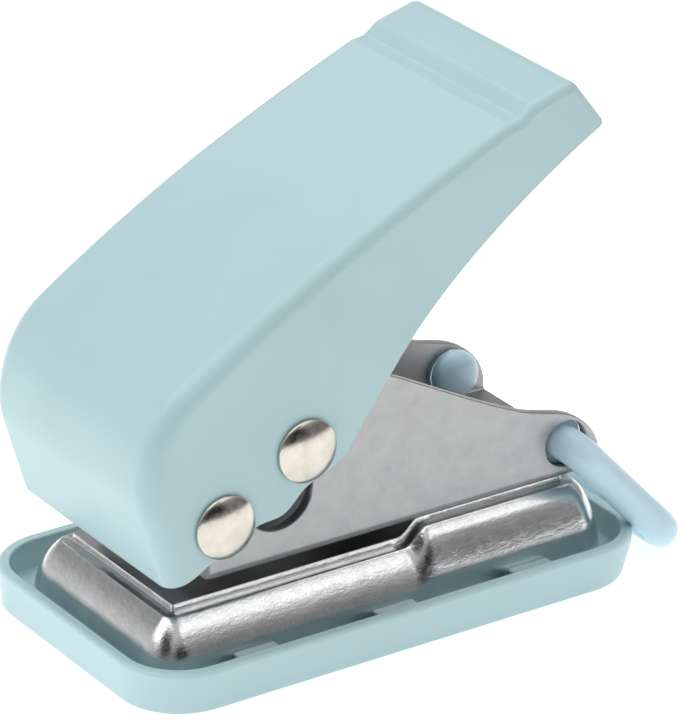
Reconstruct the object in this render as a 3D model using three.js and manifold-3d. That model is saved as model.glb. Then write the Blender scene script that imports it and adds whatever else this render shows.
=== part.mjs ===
// Single-hole hand punch with a raised plastic handle and a hanging loop at the rear.
//
// Millimetres, +Z up. +X runs to the rear, where the loop hangs, and the paper goes in from
// the front and the sides. The origin is the middle of the tray's underside, so the punch
// stands on the plane z = 0. The handle is drawn raised, which is its rest position.

import * as THREE from 'three';
import { mergeVertices } from 'three/addons/utils/BufferGeometryUtils.js';
import Module from 'manifold-3d';

const wasm = await Module();
wasm.setup();

// ---------------------------------------------------------------- driving dimensions

const GAP = 0.05;                    // between pieces of one body that rest on each other

const TRAY = {
  front: -33.1, rear: 32.8, halfWidth: 19.4, corner: 7.7,
  height: 4.95, wall: 1.35, floor: 1.5, draft: 0.25, rearDraft: 0.9, edge: 0.45,
};

const DISH = {
  front: -29.9, rear: 30.0, halfWidth: 14.8, corner: 4.4,
  bottom: TRAY.floor + GAP, sheet: 1.0,
  crease: 8.0, archR: 8.9, creaseSlope: 40, footSlope: 88,   // slopes in degrees
  ledge: 1.2, table: 8.8,
  stepStart: 3.6, stepEnd: 6.6, stepRise: 2.0,
};
const PLATFORM = DISH.table + DISH.stepRise;      // top of the dish's raised rear half

const FRAME = {
  front: -21.5, rear: 29.7, halfWidth: 11.8, sheet: 1.2, bend: 1.3,
  bottom: PLATFORM, top: 32.3,
};
const FLOOR_TOP = FRAME.bottom + FRAME.sheet;

const PIVOT = { x: -22.3, z: 19.6 };              // the handle turns about this rivet
const DRIVE = { x: -12.0, z: 25.8 };              // this rivet pushes the punch pin down
const SHANK_R = 1.75;
const SHANK_HOLE_R = 1.85;
const HEAD = { r: 3.65, rim: 0.35, dome: 1.05 };

const OPENING = { x: -12.75, z: 19.2, r: 4.4, topX: -12.3, topZ: 25.9, topR: 3.5 };

const PIN = { x: -11.2, r: 3.0, tip: 10.9, top: 23.45, guideR: 3.08, grooveR: 2.2 };
const SLEEVE_R = 2.2;
const SPRING = { meanR: 3.75, wire: 0.6, bottom: FLOOR_TOP + GAP, top: 22.0, turns: 5.5 };
const WASHER = { r: 4.7, holeR: 3.15, thickness: 0.4 };
const CLIP = { r: 4.3, holeR: 2.35, thickness: 0.45, mouth: 0.45 };

const HANDLE = {
  halfWidth: 16.0, wall: 2.0, edge: 1.0, bossR: 4.1,
  taperStart: -8.0, tipHalfWidth: 15.3, tipX: 27.3,
};

const EAR = { x: 25.1, z: 15.15, holeR: 2.8 };    // the loop's hinge axis
const LOOP = {
  r: 2.0, stubEnd: 9.6, legY: 14.1, footY: 16.6, footX: 36.35, footZ: 2.45,
  elbow: 2.3, heel: 2.6, headR: 2.95, headTip: 8.0, headSeat: 10.35,
};

const JOINING_RIVETS = [12.5, 21.5];              // x of the rivets that hold frame to dish

// ---------------------------------------------------------------- small tools

const ROUND = 28;                                 // sides of a round piece

// A closed solid that can be cut and joined, from any closed geometry.
function solid(geometry) {
  const bare = geometry.clone();
  bare.deleteAttribute('normal');
  bare.deleteAttribute('uv');
  const merged = mergeVertices(bare, 1e-4);
  const index = merged.getIndex().array;
  const kept = [];
  for (let i = 0; i < index.length; i += 3) {
    const [a, b, c] = index.slice(i, i + 3);
    if (a !== b && b !== c && c !== a) kept.push(a, b, c);
  }
  return new wasm.Manifold(new wasm.Mesh({
    numProp: 3,
    vertProperties: new Float32Array(merged.getAttribute('position').array),
    triVerts: new Uint32Array(kept),
  }));
}

// The geometry of a cut or joined solid.
function geometryOf(body) {
  const mesh = body.getMesh();
  const geometry = new THREE.BufferGeometry();
  geometry.setAttribute('position', new THREE.BufferAttribute(mesh.vertProperties, 3));
  geometry.setIndex(new THREE.BufferAttribute(mesh.triVerts, 1));
  return geometry;
}

// A flat shape drawn in x and z, made thick from y0 to y1.
function slabY(shape, y0, y1, options = {}) {
  const bevel = options.bevel ?? 0;
  const geometry = new THREE.ExtrudeGeometry(shape, {
    depth: y1 - y0 - 2 * bevel,
    curveSegments: options.curveSegments ?? 10,
    bevelEnabled: bevel > 0,
    bevelThickness: bevel,
    bevelSize: bevel,
    bevelOffset: -bevel,
    bevelSegments: 3,
  });
  geometry.rotateX(Math.PI / 2);
  geometry.translate(0, y1 - bevel, 0);
  return geometry;
}

// A flat shape drawn in y and z, made thick from x0 to x1.
function slabX(shape, x0, x1) {
  const geometry = new THREE.ExtrudeGeometry(shape, {
    depth: x1 - x0, curveSegments: 6, bevelEnabled: false,
  });
  const turn = new THREE.Matrix4().makeBasis(
    new THREE.Vector3(0, 1, 0), new THREE.Vector3(0, 0, 1), new THREE.Vector3(1, 0, 0));
  geometry.applyMatrix4(turn);
  geometry.translate(x0, 0, 0);
  return geometry;
}

// Round rods along y and along z.
function rodY(x, z, r, y0, y1, sides = ROUND) {
  const geometry = new THREE.CylinderGeometry(r, r, y1 - y0, sides);
  geometry.translate(x, (y0 + y1) / 2, z);
  return geometry;
}

function rodZ(x, r, z0, z1, sides = ROUND) {
  const geometry = new THREE.CylinderGeometry(r, r, z1 - z0, sides);
  geometry.rotateX(Math.PI / 2);
  geometry.translate(x, 0, (z0 + z1) / 2);
  return geometry;
}

// A turned piece with its axis on z, from [radius, z] pairs that start and end on the axis
// or close on themselves, listed from the bottom outwards and up.
function turned(profile, sides = ROUND) {
  const points = profile.map(([r, z]) => new THREE.Vector2(r, z));
  const geometry = new THREE.LatheGeometry(points, sides);
  geometry.rotateX(Math.PI / 2);
  return geometry;
}

// A rounded rectangle in plan with its long sides along x, as one closed ring of points.
// The near half runs from front to rear and the far half mirrors it on the way back.
function planRing(plan, inset, heightAt, sideStops = []) {
  const { front, rear, halfWidth, corner } = plan;
  const f = front + inset;
  const r = rear - inset;
  const h = halfWidth - inset;
  const c = Math.max(corner - inset, 0.3);
  const steps = 5;
  const near = [];
  for (let i = 0; i <= steps; i += 1) {
    const a = (Math.PI / 2) * (i / steps);
    near.push([f + c - c * Math.cos(a), -(h - c) - c * Math.sin(a)]);
  }
  for (const x of sideStops) near.push([x, -h]);
  for (let i = 0; i <= steps; i += 1) {
    const a = (Math.PI / 2) * (i / steps);
    near.push([r - c + c * Math.sin(a), -(h - c) - c * Math.cos(a)]);
  }
  const far = near.map(([x, y]) => [x, -y]).reverse();
  return [...near, ...far].map(([x, y]) => new THREE.Vector3(x, y, heightAt(x)));
}

// A closed skin over a stack of equal rings. Each end is closed by straight strips from
// the ring's near half to its far half, so a ring may rise and fall along x.
function stackedRings(rings) {
  const n = rings[0].length;
  const positions = rings.flat().flatMap((p) => [p.x, p.y, p.z]);
  const faces = [];
  for (let k = 0; k < rings.length - 1; k += 1) {
    for (let i = 0; i < n; i += 1) {
      const a = k * n + i;
      const b = k * n + (i + 1) % n;
      faces.push(a, b, b + n, a, b + n, a + n);
    }
  }
  const last = (rings.length - 1) * n;
  for (let i = 0; i < n / 2 - 1; i += 1) {
    const j = n - 1 - i;
    faces.push(i, j, i + 1, i + 1, j, j - 1);
    faces.push(last + i, last + i + 1, last + j, last + i + 1, last + j - 1, last + j);
  }
  const geometry = new THREE.BufferGeometry();
  geometry.setAttribute('position', new THREE.Float32BufferAttribute(positions, 3));
  geometry.setIndex(faces);
  return geometry;
}

// A path of straight runs whose inner corners are rounded to the given radii.
function roundedPath(points, radii) {
  const path = new THREE.CurvePath();
  let from = points[0];
  for (let i = 1; i < points.length - 1; i += 1) {
    const before = points[i - 1].clone().sub(points[i]).normalize();
    const after = points[i + 1].clone().sub(points[i]).normalize();
    const half = before.angleTo(after) / 2;
    const back = radii[i - 1] / Math.tan(half);
    const start = points[i].clone().addScaledVector(before, back);
    const end = points[i].clone().addScaledVector(after, back);
    path.add(new THREE.LineCurve3(from, start));
    const pull = (4 / 3) * Math.tan((Math.PI - 2 * half) / 4) * radii[i - 1];
    path.add(new THREE.CubicBezierCurve3(start,
      start.clone().addScaledVector(before, -pull),
      end.clone().addScaledVector(after, -pull), end));
    from = end;
  }
  path.add(new THREE.LineCurve3(from, points[points.length - 1]));
  return path;
}

// A round bar along a path.
function barAlong(path, r, sides, steps) {
  const section = new THREE.Shape();
  section.absarc(0, 0, r, 0, 2 * Math.PI);
  return new THREE.ExtrudeGeometry(section, {
    extrudePath: path, steps, curveSegments: sides,
  });
}

// ---------------------------------------------------------------- base

// The loose-fitting plastic tray under the punch. It catches the paper discs and grips
// the foot of the dish between six lugs.
function baseTray() {
  const level = (z) => () => z;
  const inner = TRAY.wall;
  const foot = { ...TRAY, rear: TRAY.rear - TRAY.rearDraft };
  const rings = [
    planRing(foot, TRAY.draft + 0.4, level(0)),
    planRing(foot, TRAY.draft, level(0.4)),
    planRing(TRAY, 0.15, level(TRAY.height - 1.3)),
    planRing(TRAY, 0, level(TRAY.height - TRAY.edge)),
    planRing(TRAY, 0.15, level(TRAY.height - 0.15)),
    planRing(TRAY, TRAY.edge, level(TRAY.height)),
    planRing(TRAY, inner - 0.2, level(TRAY.height)),
    planRing(TRAY, inner, level(TRAY.height - 0.2)),
    planRing(TRAY, inner + 0.1, level(TRAY.floor)),
  ];
  let tray = solid(stackedRings(rings));
  const innerHalf = TRAY.halfWidth - inner;
  for (const x of [-18, 0, 18]) {
    for (const side of [-1, 1]) {
      const lug = new THREE.BoxGeometry(5, 3.4, 0.7);
      lug.translate(x, side * (innerHalf - 1.55), 3.15);
      tray = tray.add(solid(lug));
    }
  }
  return geometryOf(tray);
}

// How far the dish's upper surfaces have risen at x, from its front to its rear half.
function stepAt(x) {
  const t = THREE.MathUtils.clamp(
    (x - DISH.stepStart) / (DISH.stepEnd - DISH.stepStart), 0, 1);
  return DISH.stepRise * t * t * (3 - 2 * t);
}

// The pressed steel dish: walls that arch up from the tray's floor to a crease, then a
// ledge and a crisp riser up to the punching table. Its rear half steps up to carry the
// frame.
function baseDish() {
  const stops = [];
  for (let i = 0; i <= 6; i += 1) {
    stops.push(DISH.stepStart + (DISH.stepEnd - DISH.stepStart) * (i / 6));
  }
  const footTop = DISH.bottom + DISH.sheet;
  const underLedge = DISH.crease - DISH.sheet;
  const underTable = DISH.table - DISH.sheet;
  // A ring at this inset and height. Above its foot it rises with the step.
  const ring = (inset, z) => {
    const share = THREE.MathUtils.clamp(
      (z - footTop) / (underLedge - footTop), 0, 1);
    return planRing(DISH, inset, (x) => z + share * stepAt(x), stops);
  };
  // The wall's section is one arc. These are its points at a given slope from level.
  const creaseSlope = THREE.MathUtils.degToRad(DISH.creaseSlope);
  const footSlope = THREE.MathUtils.degToRad(DISH.footSlope);
  const centreInset = DISH.archR * Math.sin(footSlope);
  const centreZ = DISH.crease - DISH.archR * Math.cos(creaseSlope);
  const onArch = (r, slope) => [
    centreInset - r * Math.sin(slope), centreZ + r * Math.cos(slope),
  ];
  const slopeAtHeight = (r, z) => Math.acos((z - centreZ) / r);
  const arch = (r, from, to, steps) => {
    const points = [];
    for (let i = 0; i <= steps; i += 1) {
      points.push(onArch(r, from + (to - from) * (i / steps)));
    }
    return points;
  };
  const innerR = DISH.archR - DISH.sheet;
  const outer = arch(
    DISH.archR, slopeAtHeight(DISH.archR, DISH.bottom), creaseSlope, 9);
  const inner = arch(
    innerR, slopeAtHeight(innerR, underLedge), slopeAtHeight(innerR, DISH.bottom), 4);
  const riser = outer[outer.length - 1][0] + DISH.ledge;
  const profile = [
    ring(riser + 1.15, underTable),
    ring(riser + 1.0, underLedge),
    ...inner.map(([inset, z]) => ring(inset, z)),
    ...outer.map(([inset, z]) => ring(inset, z)),
    ring(riser, DISH.crease),
    ring(riser + 0.1, DISH.table - 0.15),
    ring(riser + 0.3, DISH.table),
  ];
  let dish = solid(stackedRings(profile));
  dish = dish.subtract(solid(rodZ(PIN.x, PIN.r + 0.1, 6, 10, 48)));
  for (const x of JOINING_RIVETS) {
    dish = dish.subtract(solid(rodZ(x, 1.5, 8, 12)));
  }
  return geometryOf(dish);
}

// ---------------------------------------------------------------- frame

// The side view of the two cheeks: forward round the pivot, over the drive rivet's opening
// and down in a long slope to the ears that carry the loop.
function cheekOutline() {
  const outline = new THREE.Shape();
  outline.moveTo(FRAME.front, FRAME.bottom);
  outline.lineTo(FRAME.front, 13.9);
  outline.lineTo(PIVOT.x - 2.9, PIVOT.z - 3.3);
  outline.absarc(PIVOT.x, PIVOT.z, 4.4, Math.PI * 1.272, Math.PI * 0.72, true);
  outline.bezierCurveTo(-23, 27, -18, FRAME.top, -12, FRAME.top);
  outline.bezierCurveTo(-6.5, FRAME.top, -2.5, 31.4, 0.9, 29.8);
  outline.bezierCurveTo(6.6, 27.0, 14.0, 22.6, 19.5, 20.4);
  outline.bezierCurveTo(21.6, 19.6, 24.0, 19.2, 24.9, 18.8);
  outline.bezierCurveTo(27.2, 18.0, FRAME.rear, 15.7, FRAME.rear, 12.9);
  outline.lineTo(FRAME.rear, FRAME.bottom);
  return outline;
}

// A stretched round hole: the drive rivet swings down from its top to its foot.
function driveOpening() {
  const outline = new THREE.Shape();
  outline.absarc(OPENING.x, OPENING.z, OPENING.r, Math.PI, 2 * Math.PI);
  outline.absarc(OPENING.topX, OPENING.topZ, OPENING.topR, 0, Math.PI);
  return outline;
}

// The bent steel channel: a floor that guides the punch pin, and two cheeks.
function upperFrame() {
  const { halfWidth: h, sheet: t, bend, bottom, top } = FRAME;
  const channel = new THREE.Shape();
  channel.moveTo(-h, top + 1);
  channel.lineTo(-h, bottom + bend);
  channel.absarc(-h + bend, bottom + bend, bend, Math.PI, Math.PI * 1.5);
  channel.absarc(h - bend, bottom + bend, bend, Math.PI * 1.5, 2 * Math.PI);
  channel.lineTo(h, top + 1);
  channel.lineTo(h - t, top + 1);
  channel.lineTo(h - t, bottom + t);
  channel.lineTo(-h + t, bottom + t);
  channel.lineTo(-h + t, top + 1);
  let frame = solid(slabX(channel, -30, 32));
  frame = frame.intersect(solid(slabY(cheekOutline(), -h - 1, h + 1)));
  const across = [-h - 1, h + 1];
  frame = frame.subtract(solid(slabY(driveOpening(), ...across)));
  frame = frame.subtract(solid(rodY(PIVOT.x, PIVOT.z, SHANK_HOLE_R, ...across)));
  frame = frame.subtract(solid(rodY(EAR.x, EAR.z, EAR.holeR, ...across)));
  frame = frame.subtract(solid(rodZ(PIN.x, PIN.guideR, bottom - 1, bottom + 3, 48)));
  for (const x of JOINING_RIVETS) {
    frame = frame.subtract(solid(rodZ(x, 1.5, bottom - 1, bottom + 3)));
  }
  return geometryOf(frame);
}

// A rivet that joins the frame's floor to the dish's platform: a round head above, and
// the set end below.
function joiningRivet(x) {
  const over = FLOOR_TOP + GAP;
  const under = PLATFORM - DISH.sheet - GAP;
  const geometry = turned([
    [0, under - 0.7], [1.8, under - 0.6], [2.3, under - 0.3], [2.3, under],
    [1.42, under], [1.42, over],
    [2.6, over], [2.55, over + 0.3], [1.9, over + 0.7], [0, over + 0.9],
  ], 24);
  geometry.translate(x, 0, 0);
  return geometry;
}

// ---------------------------------------------------------------- punching parts

// The hardened pin. Its end is ground hollow so that the rim cuts first, and a groove near
// its top holds the clip.
function punchPin() {
  const clipLow = SPRING.top + WASHER.thickness + GAP;
  const clipHigh = clipLow + CLIP.thickness + 0.1;
  const geometry = turned([
    [0, PIN.tip + 0.9], [2.2, PIN.tip + 0.25], [PIN.r, PIN.tip],
    [PIN.r, clipLow - GAP], [PIN.grooveR, clipLow - GAP],
    [PIN.grooveR, clipHigh], [PIN.r, clipHigh],
    [PIN.r, PIN.top - 0.25], [PIN.r - 0.3, PIN.top], [0, PIN.top],
  ], 48);
  geometry.translate(PIN.x, 0, 0);
  return geometry;
}

// The spring's wire: one flat turn at each end and open turns between.
class SpringWire extends THREE.Curve {
  getPoint(t, target = new THREE.Vector3()) {
    const low = SPRING.bottom + SPRING.wire / 2;
    const high = SPRING.top - SPRING.wire / 2 - GAP;
    const closed = SPRING.wire + GAP;
    const turn = t * SPRING.turns;
    const open = (high - low - 2 * closed) / (SPRING.turns - 2);
    const flat = THREE.MathUtils.clamp(turn, 0, 1) + Math.max(turn - SPRING.turns + 1, 0);
    const steep = THREE.MathUtils.clamp(turn - 1, 0, SPRING.turns - 2);
    const a = 2 * Math.PI * turn;
    return target.set(
      SPRING.meanR * Math.cos(a),
      SPRING.meanR * Math.sin(a),
      low + flat * closed + steep * open);
  }
}

function returnSpring() {
  const geometry = barAlong(new SpringWire(), SPRING.wire / 2, 3, 88);
  geometry.translate(PIN.x, 0, 0);
  return geometry;
}

function springWasher() {
  const low = SPRING.top;
  const high = low + WASHER.thickness;
  const geometry = turned([
    [WASHER.holeR, low], [WASHER.r, low], [WASHER.r, high],
    [WASHER.holeR, high], [WASHER.holeR, low],
  ]);
  geometry.translate(PIN.x, 0, 0);
  return geometry;
}

// The open clip in the pin's groove. Its mouth is half the groove's width of a radian.
function retainingClip() {
  const outline = new THREE.Shape();
  outline.absarc(0, 0, CLIP.r, CLIP.mouth, 2 * Math.PI - CLIP.mouth);
  outline.absarc(0, 0, CLIP.holeR, 2 * Math.PI - CLIP.mouth, CLIP.mouth, true);
  const geometry = new THREE.ExtrudeGeometry(outline, {
    depth: CLIP.thickness, curveSegments: 24, bevelEnabled: false,
  });
  geometry.translate(PIN.x, 0, SPRING.top + WASHER.thickness + GAP + 0.05);
  return geometry;
}

// ---------------------------------------------------------------- handle

// The handle's side view, drawn from the foot of its nose over the top to the thumb rest,
// round the slanted tip and back along the lower edge of its side walls.
function handleTop(outline) {
  outline.lineTo(-31.6, 22.5);
  outline.bezierCurveTo(-32.9, 27.3, -30.5, 33.5, -26.7, 36.0);
  outline.bezierCurveTo(-13.2, 44.9, 0.5, 51.2, 14.3, 56.9);
  outline.lineTo(15.9, 57.1);
  outline.lineTo(17.5, 58.4);
  outline.lineTo(23.0, 60.0);
}

function handleOutline() {
  const outline = new THREE.Shape();
  outline.moveTo(-28.9, 13.3);
  handleTop(outline);
  outline.lineTo(27.3, 54.3);
  outline.bezierCurveTo(18.2, 49.5, 6.5, 41.5, 0.1, 33.1);
  outline.bezierCurveTo(-2.2, 30.2, -4.4, 27.4, -6.1, 24.7);
  outline.bezierCurveTo(-7.2, 23.0, -9.4, 22.6, -11.6, 21.5);
  outline.bezierCurveTo(-13.3, 20.6, -13.6, 18.7, -16.2, 18.6);
  outline.bezierCurveTo(-19.6, 18.6, -21.4, 16.4, -23.7, 15.7);
  outline.lineTo(-26.4, 14.2);
  return outline;
}

// The hollow inside the handle, one wall in from its top and open all the way down.
function handleHollow() {
  const top = new THREE.Path();
  top.moveTo(-28.9, 13.3);
  handleTop(top);
  const over = top.getPoints(8);
  const inner = [];
  for (let i = 0; i < over.length; i += 1) {
    const before = over[Math.max(i - 1, 0)];
    const after = over[Math.min(i + 1, over.length - 1)];
    const run = after.clone().sub(before).normalize();
    inner.push(new THREE.Vector2(
      over[i].x + run.y * HANDLE.wall, over[i].y - run.x * HANDLE.wall));
  }
  const tip = inner.pop();
  const outline = new THREE.Shape();
  outline.moveTo(inner[0].x, 0);
  for (const point of inner) outline.lineTo(point.x, point.y);
  outline.lineTo(tip.x - 1.6, tip.y - 0.4);
  outline.lineTo(24.4, 52.8);
  outline.lineTo(24.4, 0);
  return outline;
}

// Two ribs that cross the hollow under the thumb rest.
function handleRibs() {
  return [[6.5, 47.5, 52.8], [15.0, 51.8, 56.6]].map(([x, low, high]) => {
    const rib = new THREE.BoxGeometry(1.2, 2 * HANDLE.halfWidth - 3, high - low);
    rib.translate(x, 0, (low + high) / 2);
    return solid(rib);
  });
}

// The handle's plan. Its sides draw in a little from behind the rivets to the tip.
function handlePlan() {
  const { halfWidth: h, taperStart, tipHalfWidth, tipX } = HANDLE;
  const side = [[-40, h], [taperStart, h], [tipX, tipHalfWidth], [tipX + 5, tipHalfWidth]];
  const ring = [...side, ...side.map(([x, y]) => [x, -y]).reverse()];
  const plan = new THREE.Shape(ring.map(([x, y]) => new THREE.Vector2(x, y)));
  return new THREE.ExtrudeGeometry(plan, { depth: 80, bevelEnabled: false });
}

function handle() {
  const { halfWidth: h, wall, edge, bossR } = HANDLE;
  let shell = solid(slabY(handleOutline(), -h, h, { bevel: edge, curveSegments: 8 }));
  shell = shell.intersect(solid(handlePlan()));
  shell = shell.subtract(solid(slabY(handleHollow(), -(h - wall), h - wall)));
  for (const rib of handleRibs()) shell = shell.add(rib);
  for (const hole of [PIVOT, DRIVE]) {
    for (const side of [-1, 1]) {
      const ends = [side * (FRAME.halfWidth + 0.35), side * (h - 1)].sort((a, b) => a - b);
      shell = shell.add(solid(rodY(hole.x, hole.z, bossR, ...ends)));
    }
    shell = shell.subtract(solid(rodY(hole.x, hole.z, SHANK_HOLE_R, -h - 1, h + 1)));
  }
  return geometryOf(shell);
}

// ---------------------------------------------------------------- handle rivets

// A rivet's near half: a low domed head, and a shank right across the handle whose thinner
// end enters the cap.
function rivetBody(at) {
  const seat = HANDLE.halfWidth + GAP;
  const { r, rim, dome } = HEAD;
  const geometry = turned([
    [0, -seat - rim - dome], [r * 0.4, -seat - rim - dome * 0.86],
    [r * 0.72, -seat - rim - dome * 0.5], [r * 0.93, -seat - rim - dome * 0.14],
    [r, -seat - rim * 0.6], [r, -seat],
    [SHANK_R, -seat], [SHANK_R, seat - 3], [1.1, seat - 3], [1.1, seat + 0.5],
    [0, seat + 0.5],
  ]);
  geometry.rotateX(-Math.PI / 2);
  geometry.translate(at.x, 0, at.z);
  return geometry;
}

// A rivet's far half: the matching head with a short socket that takes the shank's end.
function rivetCap(at) {
  const seat = HANDLE.halfWidth + GAP;
  const { r, rim, dome } = HEAD;
  const geometry = turned([
    [0, seat + 0.7], [1.2, seat + 0.7], [1.2, seat - 2.9], [SHANK_R, seat - 2.9],
    [SHANK_R, seat], [r, seat], [r, seat + rim * 0.6],
    [r * 0.93, seat + rim + dome * 0.14], [r * 0.72, seat + rim + dome * 0.5],
    [r * 0.4, seat + rim + dome * 0.86], [0, seat + rim + dome],
  ]);
  geometry.rotateX(-Math.PI / 2);
  geometry.translate(at.x, 0, at.z);
  return geometry;
}

// A tube on a rivet between the two cheeks.
function rivetSleeve(at, r) {
  const end = FRAME.halfWidth - FRAME.sheet - 0.2;
  const geometry = turned([
    [SHANK_HOLE_R, -end], [r, -end], [r, end], [SHANK_HOLE_R, end], [SHANK_HOLE_R, -end],
  ]);
  geometry.rotateX(-Math.PI / 2);
  geometry.translate(at.x, 0, at.z);
  return geometry;
}

// ---------------------------------------------------------------- hanging loop

// The domed snap head on the inner end of a stub. It's a little wider than the ear's hole.
function stubHead(side) {
  const { headR, headTip, headSeat } = LOOP;
  const head = turned([
    [0, headTip], [headR * 0.55, headTip + 0.3], [headR * 0.85, headTip + 0.9],
    [headR, headTip + 1.7], [headR, headSeat], [0, headSeat],
  ]);
  head.rotateX(-side * Math.PI / 2);
  head.translate(EAR.x, 0, EAR.z);
  return head;
}

// One bent bar: a stub in each ear, two legs that spread towards the foot, and the foot
// bar. It hangs with its legs against the tray's rim.
function hangingLoop() {
  const { stubEnd, legY, footX, footY, footZ, elbow, heel } = LOOP;
  const route = [
    new THREE.Vector3(EAR.x, -stubEnd, EAR.z),
    new THREE.Vector3(EAR.x, -legY, EAR.z),
    new THREE.Vector3(footX, -footY, footZ),
    new THREE.Vector3(footX, footY, footZ),
    new THREE.Vector3(EAR.x, legY, EAR.z),
    new THREE.Vector3(EAR.x, stubEnd, EAR.z),
  ];
  const path = roundedPath(route, [elbow, heel, heel, elbow]);
  let loop = solid(barAlong(path, LOOP.r, 6, 62));
  for (const side of [-1, 1]) loop = loop.add(solid(stubHead(side)));
  return geometryOf(loop);
}

// ---------------------------------------------------------------- materials and assembly

const AQUA = { color: 0xb3d3d8, roughness: 0.42, metalness: 0 };
const PALE_BLUE = { color: 0xb4d3e0, roughness: 0.35, metalness: 0 };
const PLATED = { color: 0xc9cbcc, roughness: 0.16, metalness: 1 };
const SHEET_STEEL = { color: 0xb9babc, roughness: 0.34, metalness: 1 };
const NICKEL = { color: 0xcfc7ba, roughness: 0.28, metalness: 1 };
const HARD_STEEL = { color: 0x8f9296, roughness: 0.3, metalness: 1 };

const punch = new THREE.Group();

function place(name, geometry, finish) {
  const piece = new THREE.Mesh(geometry, new THREE.MeshStandardMaterial(finish));
  piece.name = name;
  punch.add(piece);
}

place('base_tray', baseTray(), AQUA);
place('base_dish', baseDish(), PLATED);
place('upper_frame', upperFrame(), SHEET_STEEL);
place('frame_rivet_front', joiningRivet(JOINING_RIVETS[0]), NICKEL);
place('frame_rivet_rear', joiningRivet(JOINING_RIVETS[1]), NICKEL);
place('punch_pin', punchPin(), HARD_STEEL);
place('return_spring', returnSpring(), HARD_STEEL);
place('spring_washer', springWasher(), HARD_STEEL);
place('retaining_clip', retainingClip(), HARD_STEEL);
place('handle', handle(), AQUA);
place('pivot_rivet', rivetBody(PIVOT), NICKEL);
place('pivot_rivet_cap', rivetCap(PIVOT), NICKEL);
place('pivot_sleeve', rivetSleeve(PIVOT, 2.6), HARD_STEEL);
place('drive_rivet', rivetBody(DRIVE), NICKEL);
place('drive_rivet_cap', rivetCap(DRIVE), NICKEL);
place('drive_sleeve', rivetSleeve(DRIVE, SLEEVE_R), HARD_STEEL);
place('hanging_loop', hangingLoop(), PALE_BLUE);

export default punch;
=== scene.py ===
"""Looks of a single-hole hand punch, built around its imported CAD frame.

Shapes are drawn in millimetres in the part's own frame, then scaled to metres.
"""

import math

import bmesh
import bpy
import numpy as np
from mathutils import Matrix, Vector


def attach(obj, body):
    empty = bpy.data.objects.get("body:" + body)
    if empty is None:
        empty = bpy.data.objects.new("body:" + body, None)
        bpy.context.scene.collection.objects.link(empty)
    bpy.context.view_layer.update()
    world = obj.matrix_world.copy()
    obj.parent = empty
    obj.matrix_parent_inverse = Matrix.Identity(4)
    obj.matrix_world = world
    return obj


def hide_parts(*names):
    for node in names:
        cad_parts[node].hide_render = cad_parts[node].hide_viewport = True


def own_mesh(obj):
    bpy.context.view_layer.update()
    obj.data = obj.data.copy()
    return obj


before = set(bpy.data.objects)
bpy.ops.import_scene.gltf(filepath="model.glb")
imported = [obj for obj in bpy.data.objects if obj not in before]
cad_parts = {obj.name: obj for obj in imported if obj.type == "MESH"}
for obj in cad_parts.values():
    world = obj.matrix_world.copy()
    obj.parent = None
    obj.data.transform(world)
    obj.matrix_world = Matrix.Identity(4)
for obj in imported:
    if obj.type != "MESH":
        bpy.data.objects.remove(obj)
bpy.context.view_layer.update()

MM = 0.001

# ------------------------------------------------------------------ sizes, in millimetres

PIVOT = (-22.3, 19.6)
DRIVE = (-12.0, 25.8)
SHANK_R = 1.75
SHANK_HOLE_R = 1.85
BOSS_R = 4.1

HANDLE_HALF = 16.0
TIP_HALF = 15.3
TAPER_START, TAPER_END = -8.0, 27.3
WALL = 2.0

TRAY = dict(front=-33.1, rear=32.8, half=19.4, corner=7.7)
TRAY_HEIGHT = 4.95
TRAY_FLOOR = 1.5
TRAY_WALL = 1.35
LUGS_X = (-18, 0, 18)
LUG_LENGTH, LUG_REACH = 5.0, 3.4
LUG_LOW, LUG_HIGH = 2.8, 3.5

DISH = dict(front=-29.9, rear=30.0, half=14.8, corner=4.4)
DISH_BOTTOM = 1.55
SHEET = 1.0
CREASE = 8.0
ARCH_R = 8.9
CREASE_SLOPE = math.radians(40)
FOOT_SLOPE = math.radians(88)
LEDGE = 1.2
TABLE = 8.8
STEP_START, STEP_END, STEP_RISE = 3.6, 6.6, 2.0
PLATFORM = TABLE + STEP_RISE

FRAME_HALF = 11.8
FRAME_SHEET = 1.2
BEND = 1.3
FRAME_BOTTOM = PLATFORM
FLOOR_TOP = FRAME_BOTTOM + FRAME_SHEET
FRAME_RIVETS_X = (12.5, 21.5)
FRAME_RIVET_HOLE_R = 1.5
EAR = (25.1, 15.15)
EAR_HOLE_R = 2.8
BEYOND = 20.0  # far enough to each side for a cutter to pass right through

PIN_X = -11.2
PIN_R = 3.0
PIN_GUIDE_R = 3.08
DIE_R = PIN_R + 0.1
PIN_TIP = 10.9
PIN_TOP = 23.45
SPRING_TOP = 22.0
SPRING_GAP = 0.05
WIRE_R = 0.3
WASHER_R, WASHER_HOLE_R, WASHER_THICK = 4.7, 3.15, 0.4
CLIP_R, CLIP_HOLE_R, CLIP_THICK = 4.3, 2.35, 0.45

LOOP_R = 2.0
LOOP_STUB_END, LOOP_LEG_Y = 9.6, 14.1
LOOP_FOOT = (36.35, 16.6, 2.45)
LOOP_BENDS = (2.3, 2.6, 2.6, 2.3)
SNAP_HEAD_R, SNAP_HEAD_TIP, SNAP_HEAD_SEAT = 2.95, 8.0, 10.35


# ------------------------------------------------------------------ mesh tools


def new_object(name, points, faces):
    """A closed mesh whose double points are merged and whose faces look outwards."""
    mesh = bpy.data.meshes.new(name)
    mesh.from_pydata([tuple(p) for p in points], [], faces)
    work = bmesh.new()
    work.from_mesh(mesh)
    bmesh.ops.remove_doubles(work, verts=work.verts, dist=1e-5)
    bmesh.ops.recalc_face_normals(work, faces=work.faces)
    work.to_mesh(mesh)
    work.free()
    piece = bpy.data.objects.new(name, mesh)
    bpy.context.scene.collection.objects.link(piece)
    return piece


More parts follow.
